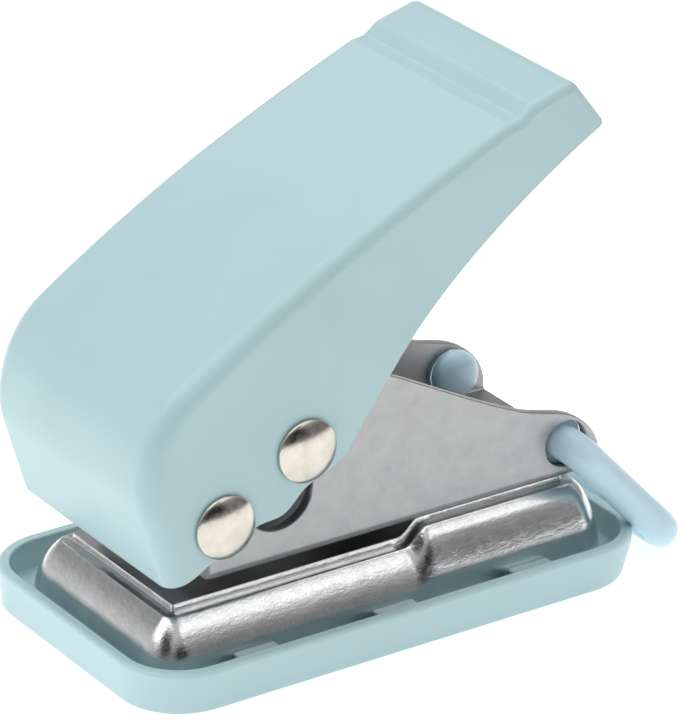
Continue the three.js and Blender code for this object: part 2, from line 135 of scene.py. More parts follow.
def apply_modifiers(piece):
    """Replaces a piece's mesh by what its modifiers make of it."""
    bpy.context.view_layer.update()
    graph = bpy.context.evaluated_depsgraph_get()
    mesh = bpy.data.meshes.new_from_object(piece.evaluated_get(graph))
    piece.modifiers.clear()
    old = piece.data
    piece.data = mesh
    bpy.data.meshes.remove(old)


def combine(piece, other, operation):
    """Cuts, joins or intersects piece with other, and drops other."""
    modifier = piece.modifiers.new("combine", "BOOLEAN")
    modifier.operation = operation
    modifier.solver = "EXACT"
    modifier.object = other
    apply_modifiers(piece)
    bpy.data.objects.remove(other)


def soften(piece, width, segments=3, angle=32, clamp=False):
    """Rounds the sharp edges of a cut solid."""
    modifier = piece.modifiers.new("soften", "BEVEL")
    modifier.width = width
    modifier.segments = segments
    modifier.limit_method = "ANGLE"
    modifier.angle_limit = math.radians(angle)
    modifier.use_clamp_overlap = clamp
    modifier.miter_outer = "MITER_ARC"
    apply_modifiers(piece)


def merge_close(piece, distance=0.02):
    """Merges points so close together that a later cut would trip over them."""
    work = bmesh.new()
    work.from_mesh(piece.data)
    bmesh.ops.remove_doubles(work, verts=work.verts, dist=distance)
    bmesh.ops.dissolve_degenerate(work, edges=work.edges, dist=distance / 2)
    work.to_mesh(piece.data)
    work.free()


def finish_mesh(piece, flat=None):
    """Smooth shading that keeps flat faces flat, and metres for millimetres."""
    piece.data.transform(Matrix.Scale(MM, 4))
    for face in piece.data.polygons:
        many_sided = len(face.vertices) > 8
        face.use_smooth = not many_sided and (flat is None or not flat(face.normal))
    modifier = piece.modifiers.new("normals", "WEIGHTED_NORMAL")
    modifier.mode = "FACE_AREA"
    modifier.weight = 100
    apply_modifiers(piece)


def faces_side(normal):
    """True for the big flat sides of the handle and the frame."""
    return abs(normal.y) > 0.9998


def place(piece, body, node, material, flat=None):
    """Finishes a piece, gives it its material, hangs it on its body and hides the CAD node
    it stands for.
    """
    finish_mesh(piece, flat)
    piece.data.materials.clear()
    piece.data.materials.append(material)
    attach(piece, body)
    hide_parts(node)


def prism(name, outline, low, high, axis="Y"):
    """A flat outline made thick along Y or X."""
    n = len(outline)
    if axis == "Y":
        points = [(u, y, v) for y in (low, high) for u, v in outline]
    else:
        points = [(x, u, v) for x in (low, high) for u, v in outline]
    faces = [tuple(range(n)), tuple(range(n, 2 * n))]
    faces += [(i, (i + 1) % n, n + (i + 1) % n, n + i) for i in range(n)]
    return new_object(name, points, faces)


def rod(name, centre, r, low, high, axis="Y", sides=64):
    """A plain round cutter or boss along Y or Z."""
    ring = [
        (r * math.cos(2 * math.pi * i / sides), r * math.sin(2 * math.pi * i / sides))
        for i in range(sides)
    ]
    if axis == "Y":
        outline = [(centre[0] + u, centre[1] + v) for u, v in ring]
        return prism(name, outline, low, high)
    points = [(centre[0] + u, centre[1] + v, z) for z in (low, high) for u, v in ring]
    faces = [tuple(range(sides)), tuple(range(sides, 2 * sides))]
    faces += [
        (i, (i + 1) % sides, sides + (i + 1) % sides, sides + i) for i in range(sides)
    ]
    return new_object(name, points, faces)


def lathe(name, profile, centre, axis="Z", sides=72):
    """A turned piece from (radius, height) pairs. A radius of 0 closes it."""
    points = []
    rings = []
    for r, h in profile:
        ring = []
        for i in range(1 if r == 0 else sides):
            a = 2 * math.pi * i / sides
            u, v = r * math.cos(a), r * math.sin(a)
            if axis == "Z":
                points.append((centre[0] + u, v, h))
            else:
                points.append((centre[0] + u, h, centre[1] + v))
            ring.append(len(points) - 1)
        rings.append(ring)
    faces = []
    pairs = list(zip(rings, rings[1:]))
    if profile[0][0] > 0:
        pairs.append((rings[-1], rings[0]))
    for a, b in pairs:
        if len(a) == 1 and len(b) == 1:
            continue
        for i in range(sides):
            j = (i + 1) % sides
            if len(a) == 1:
                faces.append((a[0], b[i], b[j]))
            elif len(b) == 1:
                faces.append((a[i], a[j], b[0]))
            else:
                faces.append((a[i], a[j], b[j], b[i]))
    return new_object(name, points, faces)


def bezier(p0, p1, p2, p3, steps):
    """Points along a cubic curve, without its first."""
    out = []
    for i in range(1, steps + 1):
        t = i / steps
        a, b, c, d = (1 - t) ** 3, 3 * t * (1 - t) ** 2, 3 * t * t * (1 - t), t**3
        out.append(
            (
                a * p0[0] + b * p1[0] + c * p2[0] + d * p3[0],
                a * p0[1] + b * p1[1] + c * p2[1] + d * p3[1],
            )
        )
    return out


def round_corner(before, corner, after, r, steps=5):
    """Points of the arc that rounds one corner of an outline."""
    c = Vector(corner)
    a = (Vector(before) - c).normalized()
    b = (Vector(after) - c).normalized()
    half = a.angle(b) / 2
    back = r / math.tan(half)
    middle = c + (a + b).normalized() * (r / math.sin(half))
    start = c + a * back - middle
    end = c + b * back - middle
    turn = math.pi - 2 * half
    side = 1 if start.x * end.y - start.y * end.x > 0 else -1
    out = []
    for i in range(steps + 1):
        t = side * turn * i / steps
        out.append(
            (
                middle.x + start.x * math.cos(t) - start.y * math.sin(t),
                middle.y + start.x * math.sin(t) + start.y * math.cos(t),
            )
        )
    return out


def area(outline):
    """The signed area of an outline, above 0 where it runs anticlockwise."""
    total = 0.0
    for (x0, y0), (x1, y1) in zip(outline, outline[1:] + outline[:1]):
        total += x0 * y1 - x1 * y0
    return total / 2


def inward(outline):
    """The inward unit normal at each point of a closed outline."""
    n = len(outline)
    side = 1 if area(outline) > 0 else -1
    normals = []
    for i in range(n):
        p, q, r = outline[i - 1], outline[i], outline[(i + 1) % n]
        a = Vector((q[0] - p[0], q[1] - p[1])).normalized()
        b = Vector((r[0] - q[0], r[1] - q[1])).normalized()
        t = (a + b).normalized()
        normals.append(Vector((-t.y, t.x)) * side)
    return normals


def rounded_slab(name, outline, radii, half, segments=9):
    """A slab across Y whose edge round may change along its outline."""
    normals = inward(outline)
    n = len(outline)
    points = []
    stops = [math.pi / 2 * (1 - k / segments) for k in range(segments + 1)]
    rings = [(-1, a) for a in stops] + [(1, a) for a in reversed(stops)]
    for side, a in rings:
        for (x, z), normal, r in zip(outline, normals, radii):
            off = r * (1 - math.cos(a))
            y = half - r * (1 - math.sin(a))
            points.append((x + normal.x * off, side * y, z + normal.y * off))
    faces = [tuple(range(n)), tuple(range(len(points) - n, len(points)))]
    for k in range(len(rings) - 1):
        for i in range(n):
            j = (i + 1) % n
            faces.append((k * n + i, k * n + j, (k + 1) * n + j, (k + 1) * n + i))
    return new_object(name, points, faces)


def plan_ring(plan, inset, height_at, stops=(), steps=10):
    """A rounded rectangle in plan, near half first, then the far half mirrored."""
    f = plan["front"] + inset
    r = plan["rear"] - inset
    h = plan["half"] - inset
    c = max(plan["corner"] - inset, 0.3)
    near = []
    for i in range(steps + 1):
        a = math.pi / 2 * i / steps
        near.append((f + c - c * math.cos(a), -(h - c) - c * math.sin(a)))
    near += [(x, -h) for x in stops]
    for i in range(steps + 1):
        a = math.pi / 2 * i / steps
        near.append((r - c + c * math.sin(a), -(h - c) - c * math.cos(a)))
    far = [(x, -y) for x, y in reversed(near)]
    return [(x, y, height_at(x)) for x, y in near + far]


def stack(name, rings):
    """A closed skin over a stack of equal rings."""
    n = len(rings[0])
    points = [p for ring in rings for p in ring]
    faces = []
    for k in range(len(rings) - 1):
        for i in range(n):
            j = (i + 1) % n
            faces.append((k * n + i, k * n + j, (k + 1) * n + j, (k + 1) * n + i))
    last = (len(rings) - 1) * n
    for i in range(n // 2 - 1):
        j = n - 1 - i
        faces.append((i, i + 1, j - 1, j))
        faces.append((last + i, last + i + 1, last + j - 1, last + j))
    return new_object(name, points, faces)


def tube(name, path, r, sides=24):
    """A round bar along a smooth list of points, closed by flat ends."""
    path = [Vector(p) for p in path]
    n = len(path)
    points = []
    tangents = []
    for i in range(n):
        tangents.append((path[min(i + 1, n - 1)] - path[max(i - 1, 0)]).normalized())
    up = Vector((0, 0, 1))
    if abs(tangents[0].dot(up)) > 0.9:
        up = Vector((1, 0, 0))
    u = tangents[0].cross(up).normalized()
    for i in range(n):
        u = (u - tangents[i] * u.dot(tangents[i])).normalized()
        v = tangents[i].cross(u)
        for k in range(sides):
            a = 2 * math.pi * k / sides
            points.append(path[i] + (u * math.cos(a) + v * math.sin(a)) * r)
    faces = []
    for i in range(n - 1):
        for k in range(sides):
            j = (k + 1) % sides
            faces.append(
                (i * sides + k, i * sides + j, (i + 1) * sides + j, (i + 1) * sides + k)
            )
    faces.append(tuple(range(sides)))
    faces.append(tuple(range((n - 1) * sides, n * sides)))
    return new_object(name, points, faces)


def smooth_route(corners, radii, step=0.6, arc_steps=10):
    """Points along straight runs whose inner corners are rounded."""
    corners = [Vector(c) for c in corners]
    route = [corners[0]]
    for i in range(1, len(corners) - 1):
        a = (corners[i - 1] - corners[i]).normalized()
        b = (corners[i + 1] - corners[i]).normalized()
        half = a.angle(b) / 2
        r = radii[i - 1]
        back = r / math.tan(half)
        middle = corners[i] + (a + b).normalized() * (r / math.sin(half))
        start = corners[i] + a * back
        end = corners[i] + b * back
        add_run(route, start, step)
        for k in range(1, arc_steps + 1):
            t = k / arc_steps
            turn = math.pi - 2 * half
            p = (start - middle) * (math.sin((1 - t) * turn) / math.sin(turn)) + (
                end - middle
            ) * (math.sin(t * turn) / math.sin(turn))
            route.append(middle + p)
    add_run(route, corners[-1], step)
    return route


def add_run(route, end, step):
    """Adds evenly spaced points of a straight run to a route."""
    start = route[-1]
    count = max(1, round((end - start).length / step))
    for k in range(1, count + 1):
        route.append(start.lerp(end, k / count))


# ------------------------------------------------------------------ materials


def shader(name):
    """A new material with its node tree and its one principled shader."""
    material = bpy.data.materials.new(name)
    material.use_nodes = True
    tree = material.node_tree
    tree.nodes.clear()
    out = tree.nodes.new("ShaderNodeOutputMaterial")
    bsdf = tree.nodes.new("ShaderNodeBsdfPrincipled")
    tree.links.new(bsdf.outputs["BSDF"], out.inputs["Surface"])
    return material, tree, bsdf


def coordinates(tree, stretch=(1, 1, 1), turn=(0, 0, 0)):
    """Places on the piece itself, stretched and turned for a grain."""
    place_at = tree.nodes.new("ShaderNodeTexCoord")
    mapping = tree.nodes.new("ShaderNodeMapping")
    mapping.inputs["Scale"].default_value = stretch
    mapping.inputs["Rotation"].default_value = turn
    tree.links.new(place_at.outputs["Object"], mapping.inputs["Vector"])
    return mapping.outputs["Vector"]


def noise(tree, vector, scale, detail=3.0, roughness=0.5, distortion=0.0):
    node = tree.nodes.new("ShaderNodeTexNoise")
    node.inputs["Scale"].default_value = scale
    node.inputs["Detail"].default_value = detail
    node.inputs["Roughness"].default_value = roughness
    node.inputs["Distortion"].default_value = distortion
    tree.links.new(vector, node.inputs["Vector"])
    return node.outputs["Fac"]


def spread(tree, value, low, high, start=0.3, end=0.7):
    """Maps a noise value to a range of numbers."""
    node = tree.nodes.new("ShaderNodeMapRange")
    node.inputs["From Min"].default_value = start
    node.inputs["From Max"].default_value = end
    node.inputs["To Min"].default_value = low
    node.inputs["To Max"].default_value = high
    tree.links.new(value, node.inputs["Value"])
    return node.outputs["Result"]


def two_tone(tree, value, dark, light):
    node = tree.nodes.new("ShaderNodeMix")
    node.data_type = "RGBA"
    node.inputs["A"].default_value = (*dark, 1)
    node.inputs["B"].default_value = (*light, 1)
    tree.links.new(value, node.inputs["Factor"])
    return node.outputs["Result"]


def bump(tree, height, strength, distance, below=None):
    node = tree.nodes.new("ShaderNodeBump")
    node.inputs["Strength"].default_value = strength
    node.inputs["Distance"].default_value = distance
    tree.links.new(height, node.inputs["Height"])
    if below is not None:
        tree.links.new(below, node.inputs["Normal"])
    return node.outputs["Normal"]


def plastic(name, colour, rough):
    """Moulded gloss plastic: faint flow tones, a fine skin and a soft sheen."""
    material, tree, bsdf = shader(name)
    flow = noise(tree, coordinates(tree), 70, 2.0)
    dark = tuple(c * 0.975 for c in colour)
    light = tuple(min(c * 1.02, 1) for c in colour)
    tree.links.new(
        two_tone(tree, spread(tree, flow, 0, 1), dark, light), bsdf.inputs["Base Color"]
    )
    skin = noise(tree, coordinates(tree), 900, 3.0)
    tree.links.new(
        spread(tree, skin, rough * 0.98, rough * 1.03), bsdf.inputs["Roughness"]
    )
    waves = bump(tree, noise(tree, coordinates(tree), 120, 1.0), 0.03, 0.0002)
    grain = bump(tree, noise(tree, coordinates(tree), 6500, 2.0), 0.02, 0.00002, waves)
    tree.links.new(grain, bsdf.inputs["Normal"])
    bsdf.inputs["IOR"].default_value = 1.49
    return material


def plated_steel():
    """Bright plating over a deep-drawn sheet: crinkled where the metal stretched."""
    material, tree, bsdf = shader("plated_steel")
    bsdf.inputs["Metallic"].default_value = 1.0
    cloud = noise(tree, coordinates(tree), 260, 3.0)
    tone = two_tone(
        tree, spread(tree, cloud, 0, 1), (0.74, 0.745, 0.75), (0.84, 0.84, 0.84)
    )
    tree.links.new(tone, bsdf.inputs["Base Color"])
    tree.links.new(
        spread(tree, noise(tree, coordinates(tree), 1500, 3.0), 0.17, 0.27),
        bsdf.inputs["Roughness"],
    )
    ripple = bump(
        tree, noise(tree, coordinates(tree, (0.35, 0.6, 1)), 1100, 2.5), 0.5, 0.00007
    )
    crinkle = bump(
        tree,
        noise(tree, coordinates(tree, (0.8, 0.8, 1)), 4200, 2.5, 0.5, 0.4),
        0.7,
        0.00003,
        ripple,
    )
    tree.links.new(crinkle, bsdf.inputs["Normal"])
    return material


def frame_steel():
    """Rolled sheet with a faint wavy grain and a mottled plating."""
    material, tree, bsdf = shader("frame_steel")
    bsdf.inputs["Metallic"].default_value = 1.0
    mottle = noise(tree, coordinates(tree), 420, 4.0, 0.6)
    tone = two_tone(
        tree, spread(tree, mottle, 0, 1), (0.37, 0.37, 0.375), (0.42, 0.42, 0.42)
    )
    tree.links.new(tone, bsdf.inputs["Base Color"])
    tree.links.new(
        spread(tree, noise(tree, coordinates(tree), 1100, 3.0), 0.36, 0.44),
        bsdf.inputs["Roughness"],
    )
    grain_at = coordinates(tree, (1, 1, 0.16), (0, math.radians(62), 0))
    grain = bump(tree, noise(tree, grain_at, 2400, 3.0, 0.6, 1.2), 0.3, 0.00002)
    wave = bump(tree, noise(tree, coordinates(tree), 420, 2.0), 0.22, 0.00008, grain)
    tree.links.new(wave, bsdf.inputs["Normal"])
    return material


def rivet_metal():
    """Warm nickel, polished, with fine straight rubbing marks."""
    material, tree, bsdf = shader("rivet_metal")
    bsdf.inputs["Metallic"].default_value = 1.0
    cloud = noise(tree, coordinates(tree), 500, 3.0)
    tone = two_tone(
        tree, spread(tree, cloud, 0, 1), (0.57, 0.53, 0.47), (0.68, 0.635, 0.565)
    )
    tree.links.new(tone, bsdf.inputs["Base Color"])
    tree.links.new(
        spread(tree, noise(tree, coordinates(tree), 1800, 3.0), 0.14, 0.26),
        bsdf.inputs["Roughness"],
    )
    rub_at = coordinates(tree, (1, 1, 0.12), (0, math.radians(12), 0))
    rub = bump(tree, noise(tree, rub_at, 4200, 2.0), 0.22, 0.00002)
    tree.links.new(rub, bsdf.inputs["Normal"])
    return material


def hardened_steel():
    """Ground and oiled steel for the parts inside."""
    material, tree, bsdf = shader("hardened_steel")
    bsdf.inputs["Metallic"].default_value = 1.0
    cloud = noise(tree, coordinates(tree), 600, 3.0)
    tone = two_tone(
        tree, spread(tree, cloud, 0, 1), (0.36, 0.36, 0.38), (0.50, 0.50, 0.52)
    )
    tree.links.new(tone, bsdf.inputs["Base Color"])
    tree.links.new(
        spread(tree, noise(tree, coordinates(tree), 2400, 3.0), 0.24, 0.4),
        bsdf.inputs["Roughness"],
    )
    turned_at = coordinates(tree, (0.15, 0.15, 1))
    tree.links.new(
        bump(tree, noise(tree, turned_at, 9000, 2.0), 0.2, 0.00002),
        bsdf.inputs["Normal"],
    )
    return material


AQUA = plastic("handle_plastic", (0.455, 0.640, 0.668), 0.32)
TRAY_AQUA = plastic("tray_plastic", (0.515, 0.710, 0.740), 0.34)
PALE_BLUE = plastic("loop_plastic", (0.590, 0.795, 0.895), 0.28)
PLATED = plated_steel()
FRAME_STEEL = frame_steel()
NICKEL = rivet_metal()
HARD_STEEL = hardened_steel()


# ------------------------------------------------------------------ handle

THUMB_REST = 13.0  # where the top's long curve ends
NOSE_FOOT = (-28.9, 13.3)
NOSE_TOP = (-31.6, 22.5)
TIP_TOP = (23.0, 60.0)
TIP_FOOT = (27.3, 54.3)


def handle_top():
    """The handle's upper line with the round of its side edges at each point."""
    below = (NOSE_FOOT[0] + 2.4, NOSE_FOOT[1] - 8.2)
    beyond = (TIP_FOOT[0] + 4.3, TIP_FOOT[1] - 5.7)
    line = [below]
    line += [
        (
            below[0] + (NOSE_TOP[0] - below[0]) * i / 8,
            below[1] + (NOSE_TOP[1] - below[1]) * i / 8,
        )
        for i in range(1, 9)
    ]
    line += bezier(NOSE_TOP, (-32.9, 27.3), (-30.5, 33.5), (-26.7, 36.0), 20)
    back = bezier((-26.7, 36.0), (-13.2, 44.9), (0.5, 51.2), (14.3, 56.9), 28)
    line += back[:-1]
    break_at, groove, crest = (14.3, 56.9), (15.9, 57.1), (17.5, 58.4)
    line += round_corner(back[-3], break_at, groove, 1.25, 4)
    line += round_corner(break_at, groove, crest, 1.0, 5)
    line += round_corner(groove, crest, TIP_TOP, 1.7, 6)
    line += round_corner(crest, TIP_TOP, TIP_FOOT, 1.8, 10)
    line.append(beyond)
    radii = []
    for x, z in line:
        forward = min(max((16.0 - x) / 44.0, 0), 1)
        radii.append(1.2 + 1.2 * forward)
    return line, radii


def handle_foot():
    """The lower edge of the side walls, from the nose back to the tip."""
    line = [(-29.0 - 9.0, 13.3 - 3.24), (-26.4, 14.2)]
    line += bezier((-26.4, 14.2), (-25.4, 14.6), (-24.6, 15.2), (-23.7, 15.7), 4)
    line += bezier((-23.7, 15.7), (-21.4, 16.4), (-19.6, 18.6), (-16.2, 18.6), 12)
    line += bezier((-16.2, 18.6), (-13.6, 18.7), (-13.3, 20.6), (-11.6, 21.5), 10)
    line += bezier((-11.6, 21.5), (-9.4, 22.6), (-7.2, 23.0), (-6.1, 24.7), 10)
    line += bezier((-6.1, 24.7), (-4.4, 27.4), (-2.2, 30.2), (0.1, 33.1), 8)
    line += bezier((0.1, 33.1), (6.5, 41.5), (18.2, 49.5), TIP_FOOT, 30)[:-1]
    line.append((TIP_FOOT[0] + 9.1, TIP_FOOT[1] + 4.8))
    return line


def draw_in(shell):
    """Draws the handle's sides in evenly, from behind the rivets to the tip."""
    work = bmesh.new()
    work.from_mesh(shell.data)
    everything = work.verts[:] + work.edges[:] + work.faces[:]
    bmesh.ops.bisect_plane(
        work, geom=everything, plane_co=(TAPER_START, 0, 0), plane_no=(1, 0, 0)
    )
    for vert in work.verts:
        share = (vert.co.x - TAPER_START) / (TAPER_END - TAPER_START)
        vert.co.y *= 1 - max(share, 0) * (1 - TIP_HALF / HANDLE_HALF)
    work.to_mesh(shell.data)
    work.free()


def handle_shell():
    top, radii = handle_top()
    closing = [(40.0, 0.0), (-24.0, 0.0)]
    outline = top + closing
    shell = rounded_slab(
        "handle_shell", outline, radii + [0.4, 0.4], HANDLE_HALF, segments=10
    )
    keep = prism("keep", handle_foot() + [(60, 80), (-60, 80)], -30, 30)
    combine(shell, keep, "INTERSECT")
    soften(shell, 0.3, 3, 40)
    merge_close(shell)
    draw_in(shell)

    # The hollow follows the top one wall further in, and turns one corner at the tip.
    normals = inward(outline)
    roof = [
        (x + n.x * WALL, z + n.y * WALL)
        for (x, z), n in zip(top, normals)
        if x < THUMB_REST
    ]
    roof[0] = (roof[1][0] + 1.0, roof[0][1] - 8.0)
    corner = (TIP_TOP[0] - 0.45, TIP_TOP[1] - WALL - 0.3)
    end = (TIP_FOOT[0] - 0.45 + 4.3, TIP_FOOT[1] - WALL - 1.0 - 5.7)
    hollow = roof + round_corner(roof[-1], corner, end, 0.8, 4) + [end, (end[0], -6.0)]
    hollow_radii = [max(r - 1.2, 0.5) for r in radii[: len(roof)]]
    hollow_radii += [0.5] * (len(hollow) - len(roof))
    cavity = rounded_slab("cavity", hollow, hollow_radii, HANDLE_HALF - WALL, segments=5)
    combine(shell, cavity, "DIFFERENCE")
    return shell


def handle_inside():
    """Bosses round the two cross rivets, and two ribs under the thumb rest."""
    parts = []
    for x, z in (PIVOT, DRIVE):
        for side in (-1, 1):
            ends = sorted((side * (FRAME_HALF + 0.35), side * (HANDLE_HALF - 1)))
            parts.append(rod("boss", (x, z), BOSS_R, *ends))
    for x, low, high in ((6.5, 47.5, 52.8), (15.0, 51.8, 56.6)):
        outline = [(x - 0.6, low), (x + 0.6, low), (x + 0.6, high), (x - 0.6, high)]
        parts.append(prism("rib", outline, -HANDLE_HALF + 1.5, HANDLE_HALF - 1.5))
    return parts


def make_handle():
    shell = handle_shell()
    for part in handle_inside():
        combine(shell, part, "UNION")
    for at in (PIVOT, DRIVE):
        bore = rod("bore", at, SHANK_HOLE_R, -BEYOND, BEYOND)
        combine(shell, bore, "DIFFERENCE")
    place(shell, "handle", "handle", AQUA, flat=faces_side)


make_handle()


# ------------------------------------------------------------------ rivets, sleeves

SEAT = HANDLE_HALF + 0.05
HEAD_R, HEAD_RIM, HEAD_DOME = 3.65, 0.35, 1.05


def head_profile(side):
    """A thin rim and a low dome, from the crown out to the seat."""
    out = []
    for i in range(13):
        a = math.pi / 2 * i / 12
        r = (HEAD_R - 0.06) * math.sin(a)
        rise = HEAD_DOME * (1 - (r / HEAD_R) ** 2) ** 0.8
        out.append((r, side * (SEAT + HEAD_RIM + rise)))
    out.append((HEAD_R - 0.02, side * (SEAT + HEAD_RIM - 0.06)))
    out.append((HEAD_R, side * (SEAT + HEAD_RIM - 0.14)))
    out.append((HEAD_R, side * (SEAT + 0.06)))
    out.append((HEAD_R - 0.06, side * SEAT))
    return out


def make_rivet(name, at):
    near = head_profile(-1)
    near += [(SHANK_R, -SEAT), (SHANK_R, SEAT - 3), (1.1, SEAT - 3)]
    near += [(1.1, SEAT + 0.5), (0, SEAT + 0.5)]
    body = lathe(name + "_shaft", near, at, "Y", 96)
    place(body, "handle", name, NICKEL)
    far = head_profile(1)
    far += [(SHANK_R, SEAT), (SHANK_R, SEAT - 2.9), (1.2, SEAT - 2.9)]
    far += [(1.2, SEAT + 0.7), (0, SEAT + 0.7)]
    cap = lathe(name + "_far_head", far, at, "Y", 96)
    place(cap, "handle", name + "_cap", NICKEL)


def make_sleeve(name, at, r, body):
    end = FRAME_HALF - FRAME_SHEET - 0.2
    profile = [
        (SHANK_HOLE_R, -end),
        (r - 0.1, -end),
        (r, -end + 0.1),
        (r, end - 0.1),
        (r - 0.1, end),
        (SHANK_HOLE_R, end),
    ]
    tube_piece = lathe(name + "_tube", profile, at, "Y", 64)
    place(tube_piece, body, name, HARD_STEEL)


make_rivet("pivot_rivet", PIVOT)
make_rivet("drive_rivet", DRIVE)
make_sleeve("pivot_sleeve", PIVOT, 2.6, "base")
make_sleeve("drive_sleeve", DRIVE, 2.2, "handle")


# ------------------------------------------------------------------ frame


def cheek_outline():
    """The cheek's side view: round the front rivet, over the top and down to the ear."""
    line = [(-21.5, 5.0), (-21.5, 13.9)]
    px, pz = PIVOT
    nose_r = 4.4
    start, stop = math.pi * 1.272, math.pi * 0.72
    for i in range(25):
        a = start + (stop - start) * i / 24
        line.append((px + nose_r * math.cos(a), pz + nose_r * math.sin(a)))
    line += bezier(line[-1], (-23, 27), (-18, 32.3), (-12, 32.3), 16)
    line += bezier((-12, 32.3), (-6.5, 32.3), (-2.5, 31.4), (0.9, 29.8), 14)
    line += bezier((0.9, 29.8), (6.6, 27.0), (14.0, 22.6), (19.5, 20.4), 18)
    line += bezier((19.5, 20.4), (21.6, 19.6), (24.0, 19.2), (24.9, 18.8), 8)
    line += bezier((24.9, 18.8), (27.2, 18.0), (29.7, 15.7), (29.7, 12.9), 14)
    line.append((29.7, 5.0))
    return line


def drive_opening():
    """A wide lower round and a narrower upper one, for the drive rivet's travel."""
    foot, foot_r = (-12.75, 19.2), 4.4
    top, top_r = (-12.3, 25.9), 3.5
    line = []
    for i in range(33):
        a = math.pi * (1 + i / 32)
        line.append((foot[0] + foot_r * math.cos(a), foot[1] + foot_r * math.sin(a)))
    for i in range(33):
        a = math.pi * i / 32
        line.append((top[0] + top_r * math.cos(a), top[1] + top_r * math.sin(a)))
    return line


def flared(name, outline, flare=0.14):
    """A cutter along Y that also takes the edge off the cheeks' outer faces."""
    normals = inward(outline)
    points = []
    ends = [
        (-BEYOND, flare),
        (-FRAME_HALF - 0.02, flare),
        (-FRAME_HALF + flare, 0),
    ]
    levels = ends + [(-y, out) for y, out in reversed(ends)]
    for y, out in levels:
        for (x, z), normal in zip(outline, normals):
            points.append((x - normal.x * out, y, z - normal.y * out))
    n = len(outline)
    last = len(levels) - 1
    faces = [tuple(range(n)), tuple(range(last * n, (last + 1) * n))]
    for k in range(last):
        for i in range(n):
            j = (i + 1) % n
            faces.append((k * n + i, k * n + j, (k + 1) * n + j, (k + 1) * n + i))
    return new_object(name, points, faces)


def channel_section():
    """The bent sheet seen from the front: cheeks up, floor between."""
    h, t, top = FRAME_HALF, FRAME_SHEET, 40.0
    low = FRAME_BOTTOM
    inner = 0.35  # the bend's inner radius
    near = [(-h, top)]
    for i in range(9):
        a = math.pi * (1 + i / 16)
        near.append((-h + BEND + BEND * math.cos(a), low + BEND + BEND * math.sin(a)))
    far = [(-y, z) for y, z in reversed(near)]
    inside = [(h - t, top)]
    for i in range(7):
        a = -math.pi / 2 * i / 6
        inside.append(
            (h - t - inner + inner * math.cos(a), low + t + inner + inner * math.sin(a))
        )
    back = [(-y, z) for y, z in reversed(inside)]
    return near + far + inside + back


def make_frame():
    channel = prism("frame_channel", channel_section(), -30, 32, "X")
    combine(channel, prism("keep", cheek_outline(), -BEYOND, BEYOND), "INTERSECT")
    soften(channel, 0.13, 2, 40)
    cutters = [
        flared("cut", drive_opening()),
        rod("cut", PIVOT, SHANK_HOLE_R, -BEYOND, BEYOND),
        rod("cut", EAR, EAR_HOLE_R, -BEYOND, BEYOND),
        rod("cut", (PIN_X, 0), PIN_GUIDE_R, 5, 20, "Z", 96),
    ]
    cutters += [rod("cut", (x, 0), FRAME_RIVET_HOLE_R, 5, 20, "Z") for x in FRAME_RIVETS_X]
    for cutter in cutters:
        combine(channel, cutter, "DIFFERENCE")
    place(
        channel, "base", "upper_frame", FRAME_STEEL, flat=faces_side
    )


make_frame()


def make_button(name, x):
    """A frame rivet: button head above, set end below."""
    over = FLOOR_TOP + 0.05
    under = PLATFORM - SHEET - 0.05
    shank_r, set_r, head_r, head_rim, head_rise = 1.42, 2.3, 2.6, 0.1, 0.8
    profile = [
        (0, under - 0.7),
        (1.2, under - 0.66),
        (1.8, under - 0.58),
        (2.2, under - 0.4),
        (set_r, under - 0.2),
        (set_r, under),
        (shank_r, under),
        (shank_r, over),
        (head_r - 0.1, over),
        (head_r, over + head_rim),
    ]
    for i in range(1, 11):
        a = math.pi / 2 * i / 10
        r = head_r * math.cos(a) if i < 10 else 0
        profile.append((r, over + head_rim + head_rise * math.sin(a)))
    button = lathe(name + "_button", profile, (x, 0), "Z", 56)
    place(button, "base", name, NICKEL)


make_button("frame_rivet_front", FRAME_RIVETS_X[0])
make_button("frame_rivet_rear", FRAME_RIVETS_X[1])


# ------------------------------------------------------------------ dish and tray


def smooth_step(x):
    """How far the dish has risen at this place along it."""
    t = min(max((x - STEP_START) / (STEP_END - STEP_START), 0), 1)
    return STEP_RISE * t * t * (3 - 2 * t)


def side_stops():
    """Where the sides of the dish need points: close together through the step."""
    front = list(np.linspace(-22, STEP_START - 1, 9))
    step = list(np.linspace(STEP_START - 0.4, STEP_END + 0.4, 17))
    rear = list(np.linspace(STEP_END + 1.4, 22, 6))
    return [float(x) for x in front + step + rear]


